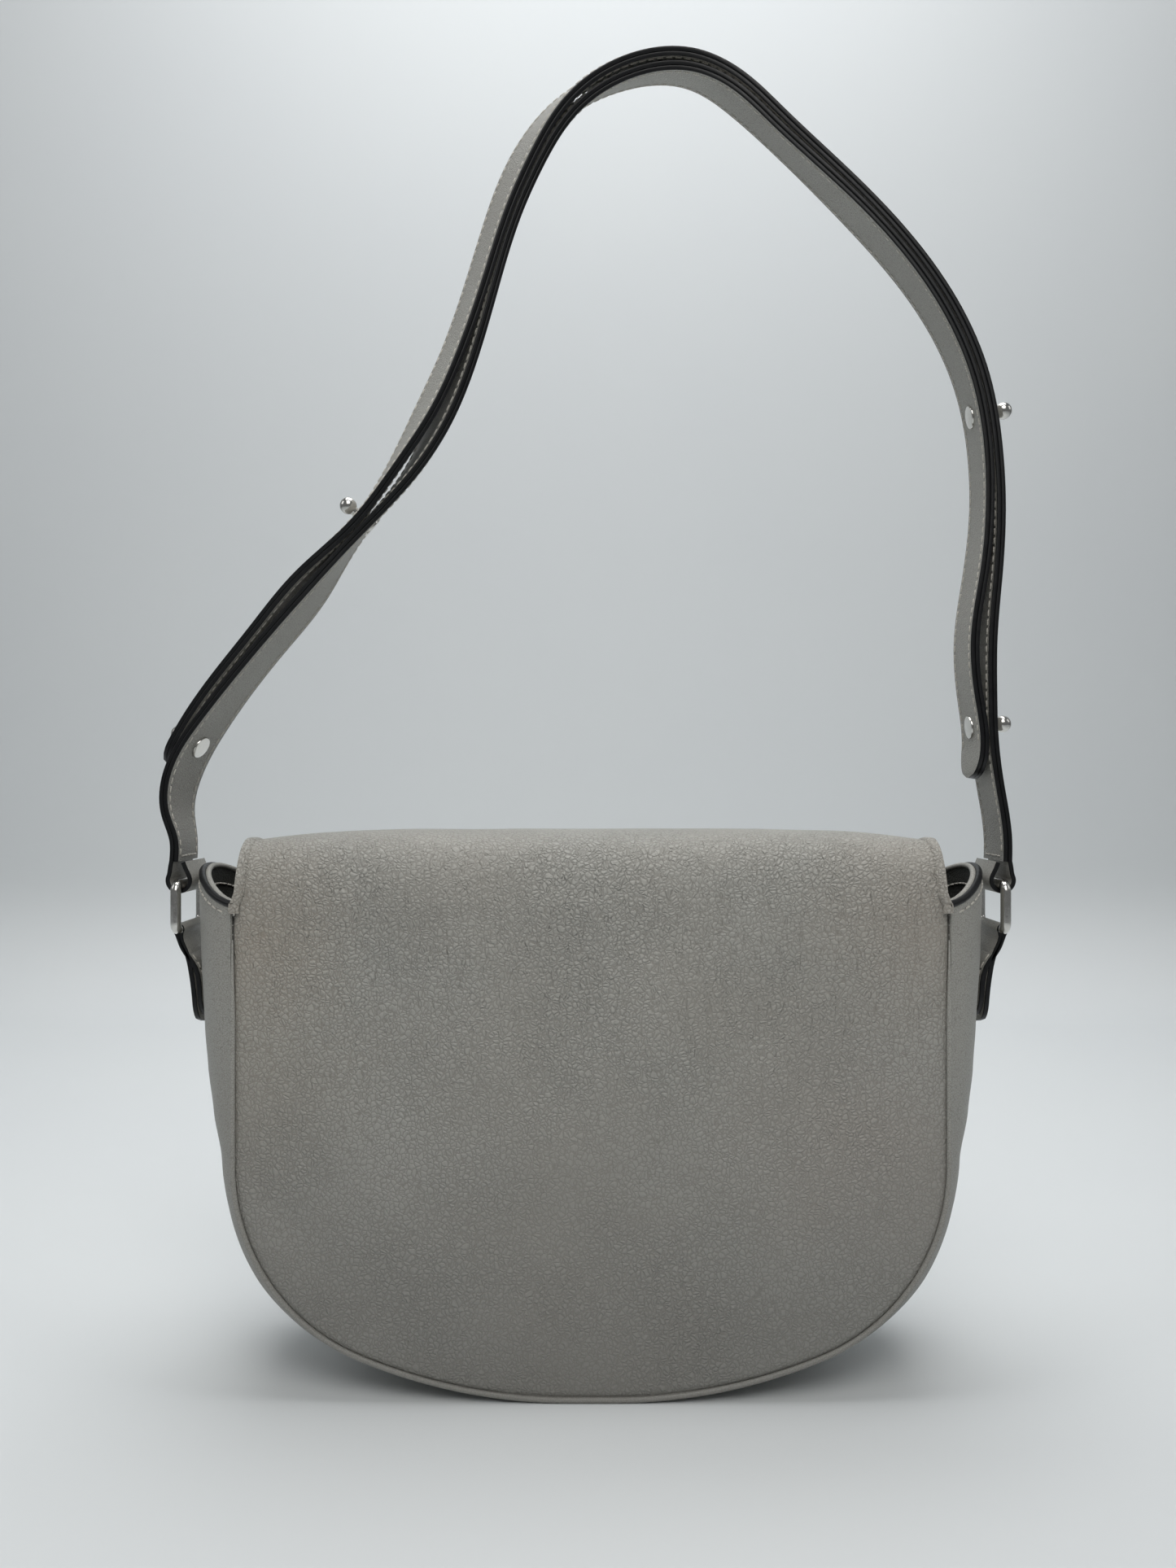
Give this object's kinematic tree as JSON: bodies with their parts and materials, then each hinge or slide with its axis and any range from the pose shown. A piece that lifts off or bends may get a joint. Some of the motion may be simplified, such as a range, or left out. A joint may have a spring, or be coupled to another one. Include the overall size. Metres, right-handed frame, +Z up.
{
  "type": "flap shoulder bag",
  "caption": "Leather saddle-flap shoulder bag with a two-layer buttoned strap on metal rings, a hinged flap, a magnetic snap and an inner zip pocket.",
  "frame": {"origin": "underside of the strap where a hook or peg bears, at mid-width of the strap; the bag hangs below it", "axes": "+Z up, +X to the right seen from behind the bag, +Y from the back panel to the flap side"},
  "size_m": [0.3523, 0.0846, 0.5376],
  "materials": {
    "pebbled_leather": "pebbled taupe-grey calf leather, satin",
    "smooth_leather": "smooth taupe-grey calf leather, satin",
    "strap_leather": "taupe-grey strap leather with black painted edges",
    "dark_lining": "dark grey-green pebbled lining",
    "pocket_cloth": "woven pocket cloth",
    "nickel": "polished nickel plate",
    "zip_tape": "woven zip tape",
    "zip_coil": "moulded nylon coil",
    "welt_cord": "leather-covered welt"
  },
  "bodies": {
    "strap": {"stud_strap_inner_ply": "strap_leather", "stud_strap_outer_ply": "strap_leather", "hole_strap_inner_ply": "strap_leather", "hole_strap_outer_ply": "strap_leather", "ball_studs": "nickel", "stud_screws": "nickel"},
    "ring_left": {"ring_left": "nickel"},
    "ring_right": {"ring_right": "nickel"},
    "bag": {"back_panel": "pebbled_leather", "back_lining": "dark_lining", "front_panel": "pebbled_leather", "front_lining": "dark_lining", "gusset": "smooth_leather", "gusset_lining": "dark_lining", "mouth_facing_left": "smooth_leather", "mouth_facing_right": "smooth_leather", "front_facing": "smooth_leather", "back_welt": "welt_cord", "front_welt": "welt_cord", "tab_left": "strap_leather", "tab_right": "strap_leather", "snap_socket": "nickel", "snap_socket_washer": "nickel", "pocket_frame": "smooth_leather", "pocket_bag": "pocket_cloth", "zip_tapes": "zip_tape", "zip_coil": "zip_coil", "zip_stops": "nickel"},
    "flap": {"flap_leather": "pebbled_leather", "flap_lining": "dark_lining", "snap_stud": "nickel", "snap_stud_washer": "nickel"},
    "zip_slider": {"zip_slider": "nickel"},
    "zip_pull": {"zip_pull": "nickel"}
  },
  "joints": [
    {"name": "ring_left_swing", "type": "hinge", "parent": "strap", "child": "ring_left", "pos_m": [-0.1844, 0, -0.3315], "axis": [0, 1, 0], "range_deg": [-3.5, 3.5]},
    {"name": "bag_swing", "type": "hinge", "parent": "ring_left", "child": "bag", "pos_m": [-0.1844, 0, -0.35], "axis": [0, 1, 0], "range_deg": [-3.5, 3.5]},
    {"name": "ring_right_swing", "type": "hinge", "parent": "strap", "child": "ring_right", "pos_m": [0.15, 0, -0.3315], "axis": [0, 1, 0], "range_deg": [-3.5, 3.5]},
    {"name": "flap_open", "type": "hinge", "parent": "bag", "child": "flap", "pos_m": [-0.0172, -0.038, -0.33685], "axis": [1, 0, 0], "range_deg": [0, 170]},
    {"name": "zip_travel", "type": "slide", "parent": "bag", "child": "zip_slider", "axis": [1, 0, 0], "range_m": [0, 0.1445]},
    {"name": "zip_pull_swing", "type": "hinge", "parent": "zip_slider", "child": "zip_pull", "pos_m": [-0.0887, -0.03005, -0.375], "axis": [1, 0, 0], "range_deg": [-6, 150]}
  ],
  "couplings": [
    {"joint": "ring_left_swing", "follows": "bag_swing", "ratio": -1},
    {"joint": "ring_right_swing", "follows": "bag_swing", "ratio": -1}
  ]
}
